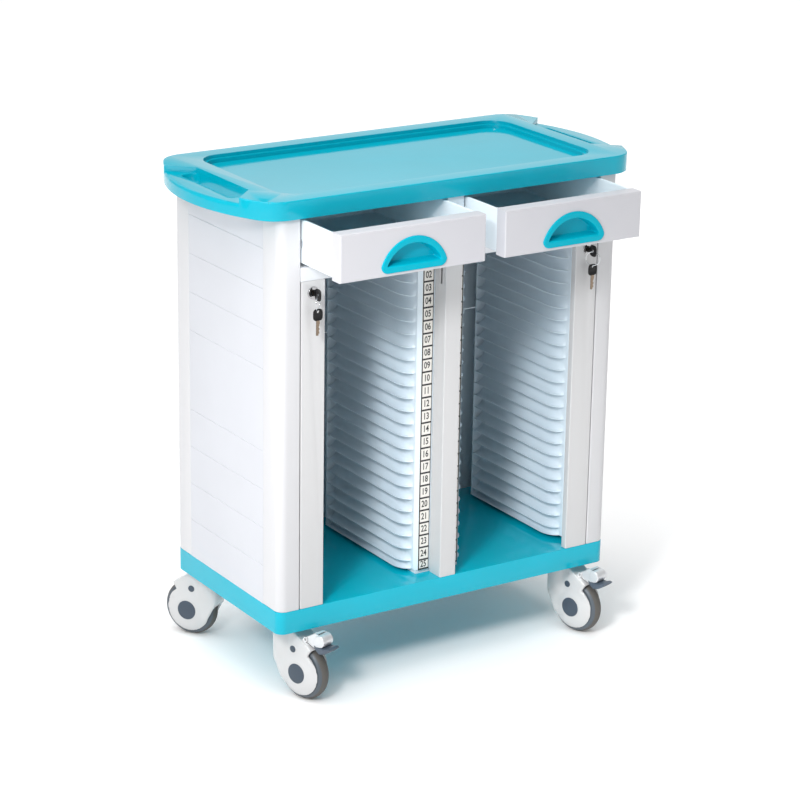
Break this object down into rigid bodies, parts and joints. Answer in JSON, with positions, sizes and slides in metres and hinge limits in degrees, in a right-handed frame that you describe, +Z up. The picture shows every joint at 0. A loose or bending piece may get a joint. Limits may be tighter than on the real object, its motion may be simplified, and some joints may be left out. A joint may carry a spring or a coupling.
{
  "type": "medical records trolley",
  "caption": "Wheeled records trolley with shuttered bays of flat folder slots, drawers above them, a worktop with a tray recess and hand slots, and braked front casters.",
  "frame": {"origin": "on the floor under the middle of the trolley's bounding box, with the drawers pulled out as stored", "axes": "+Z up, +Y to the rear, +X to the right as seen from in front of the drawers"},
  "size_m": [0.808, 0.528, 0.8758],
  "materials": {
    "white_frame": "satin",
    "grey_frame": "satin",
    "teal_moulding": "gloss",
    "white_panel": "satin",
    "white_moulding": "satin",
    "inner_board": "matt",
    "drawer_face": "satin",
    "drawer_tray": "satin",
    "label": "matt",
    "steel": "brushed",
    "slat": "satin",
    "bright_metal": "polished",
    "black_plastic": "satin",
    "caster_shell": "gloss",
    "tyre": "matt",
    "slate_cap": "satin",
    "brake": "satin"
  },
  "bodies": {
    "carcass": {"base_tray": "teal_moulding", "worktop": "teal_moulding", "central_post": "grey_frame", "drawer_deck": "inner_board", "drawer_divider": "white_moulding", "partition_studs": "inner_board", "back_panel_lower": "white_panel", "back_panel_upper": "white_panel", "panel_screws": "steel", "drawer_runners": "steel", "shutter_tracks": "white_moulding", "caster_plates": "steel", "front_left_post": "white_frame", "front_right_post": "white_frame", "rear_left_post": "white_frame", "rear_right_post": "white_frame", "left_side_panel_lower": "white_panel", "left_side_panel_upper": "white_panel", "left_inner_guide_panel": "white_moulding", "left_outer_guide_panel": "white_moulding", "left_label_strip": "label", "left_shutter_curtain": "slat", "right_side_panel_lower": "white_panel", "right_side_panel_upper": "white_panel", "right_inner_guide_panel": "white_moulding", "right_outer_guide_panel": "white_moulding", "right_label_strip": "label", "right_shutter_curtain": "slat"},
    "left_drawer": {"left_drawer_front": "drawer_face", "left_drawer_handle": "teal_moulding", "left_drawer_box": "drawer_tray", "left_drawer_slides": "steel"},
    "left_shutter": {"left_shutter_stile": "grey_frame", "left_lock_barrel": "bright_metal"},
    "left_lock": {"left_lock_plug": "bright_metal", "left_key": "black_plastic"},
    "left_keyring": {"left_spare_key": "black_plastic"},
    "right_drawer": {"right_drawer_front": "drawer_face", "right_drawer_handle": "teal_moulding", "right_drawer_box": "drawer_tray", "right_drawer_slides": "steel"},
    "right_shutter": {"right_shutter_stile": "grey_frame", "right_lock_barrel": "bright_metal"},
    "right_lock": {"right_lock_plug": "bright_metal", "right_key": "black_plastic"},
    "right_keyring": {"right_spare_key": "black_plastic"},
    "front_left_swivel": {"front_left_caster_housing": "caster_shell", "front_left_caster_axle": "slate_cap"},
    "front_left_wheel": {"front_left_caster_wheel": "tyre"},
    "front_left_brake": {"front_left_brake_pedal": "brake"},
    "front_right_swivel": {"front_right_caster_housing": "caster_shell", "front_right_caster_axle": "slate_cap"},
    "front_right_wheel": {"front_right_caster_wheel": "tyre"},
    "front_right_brake": {"front_right_brake_pedal": "brake"},
    "rear_left_swivel": {"rear_left_caster_housing": "caster_shell", "rear_left_caster_axle": "slate_cap"},
    "rear_left_wheel": {"rear_left_caster_wheel": "tyre"},
    "rear_right_swivel": {"rear_right_caster_housing": "caster_shell", "rear_right_caster_axle": "slate_cap"},
    "rear_right_wheel": {"rear_right_caster_wheel": "tyre"}
  },
  "joints": [
    {"name": "left_drawer_slide", "type": "slide", "parent": "carcass", "child": "left_drawer", "axis": [0, -1, 0], "range_m": [-0.117, 0.13]},
    {"name": "left_shutter_slide", "type": "slide", "parent": "carcass", "child": "left_shutter", "axis": [1, 0, 0], "range_m": [0, 0.2326], "deforming": ["left_shutter_curtain"]},
    {"name": "left_lock_turn", "type": "hinge", "parent": "left_shutter", "child": "left_lock", "pos_m": [-0.273, -0.1382, 0.718], "axis": [0, -1, 0], "range_deg": [0, 90]},
    {"name": "left_keyring_swing", "type": "hinge", "parent": "left_lock", "child": "left_keyring", "pos_m": [-0.273, -0.1607, 0.718], "axis": [-1, 0, 0], "range_deg": [-10, 80]},
    {"name": "right_drawer_slide", "type": "slide", "parent": "carcass", "child": "right_drawer", "axis": [0, -1, 0], "range_m": [-0.117, 0.13]},
    {"name": "right_shutter_slide", "type": "slide", "parent": "carcass", "child": "right_shutter", "axis": [-1, 0, 0], "range_m": [0, 0.2326], "deforming": ["right_shutter_curtain"]},
    {"name": "right_lock_turn", "type": "hinge", "parent": "right_shutter", "child": "right_lock", "pos_m": [0.273, -0.1382, 0.718], "axis": [0, 1, 0], "range_deg": [0, 90]},
    {"name": "right_keyring_swing", "type": "hinge", "parent": "right_lock", "child": "right_keyring", "pos_m": [0.273, -0.1607, 0.718], "axis": [1, 0, 0], "range_deg": [-80, 10]},
    {"name": "front_left_swivel_turn", "type": "hinge", "parent": "carcass", "child": "front_left_swivel", "pos_m": [-0.285, -0.0897, 0.1275], "axis": [0, 0, 1], "continuous": true},
    {"name": "front_left_wheel_spin", "type": "hinge", "parent": "front_left_swivel", "child": "front_left_wheel", "pos_m": [-0.27357, -0.12489, 0.05], "axis": [0.9511, 0.309, 0], "continuous": true},
    {"name": "front_left_brake_press", "type": "hinge", "parent": "front_left_swivel", "child": "front_left_brake", "pos_m": [-0.26955, -0.13725, 0.1135], "axis": [0.9511, 0.309, 0], "range_deg": [0, 12]},
    {"name": "front_right_swivel_turn", "type": "hinge", "parent": "carcass", "child": "front_right_swivel", "pos_m": [0.285, -0.0897, 0.1275], "axis": [0, 0, 1], "continuous": true},
    {"name": "front_right_wheel_spin", "type": "hinge", "parent": "front_right_swivel", "child": "front_right_wheel", "pos_m": [0.2952, -0.12527, 0.05], "axis": [0.9613, 0.2756, 0], "continuous": true},
    {"name": "front_right_brake_press", "type": "hinge", "parent": "front_right_swivel", "child": "front_right_brake", "pos_m": [0.29878, -0.13776, 0.1135], "axis": [0.9613, 0.2756, 0], "range_deg": [0, 12]},
    {"name": "rear_left_swivel_turn", "type": "hinge", "parent": "carcass", "child": "rear_left_swivel", "pos_m": [-0.285, 0.1838, 0.1275], "axis": [0, 0, 1], "continuous": true},
    {"name": "rear_left_wheel_spin", "type": "hinge", "parent": "rear_left_swivel", "child": "rear_left_wheel", "pos_m": [-0.30515, 0.21483, 0.05], "axis": [-0.8387, -0.5446, 0], "continuous": true},
    {"name": "rear_right_swivel_turn", "type": "hinge", "parent": "carcass", "child": "rear_right_swivel", "pos_m": [0.285, 0.1838, 0.1275], "axis": [0, 0, 1], "continuous": true},
    {"name": "rear_right_wheel_spin", "type": "hinge", "parent": "rear_right_swivel", "child": "rear_right_wheel", "pos_m": [0.26936, 0.21733, 0.05], "axis": [-0.9063, -0.4226, 0], "continuous": true}
  ]
}
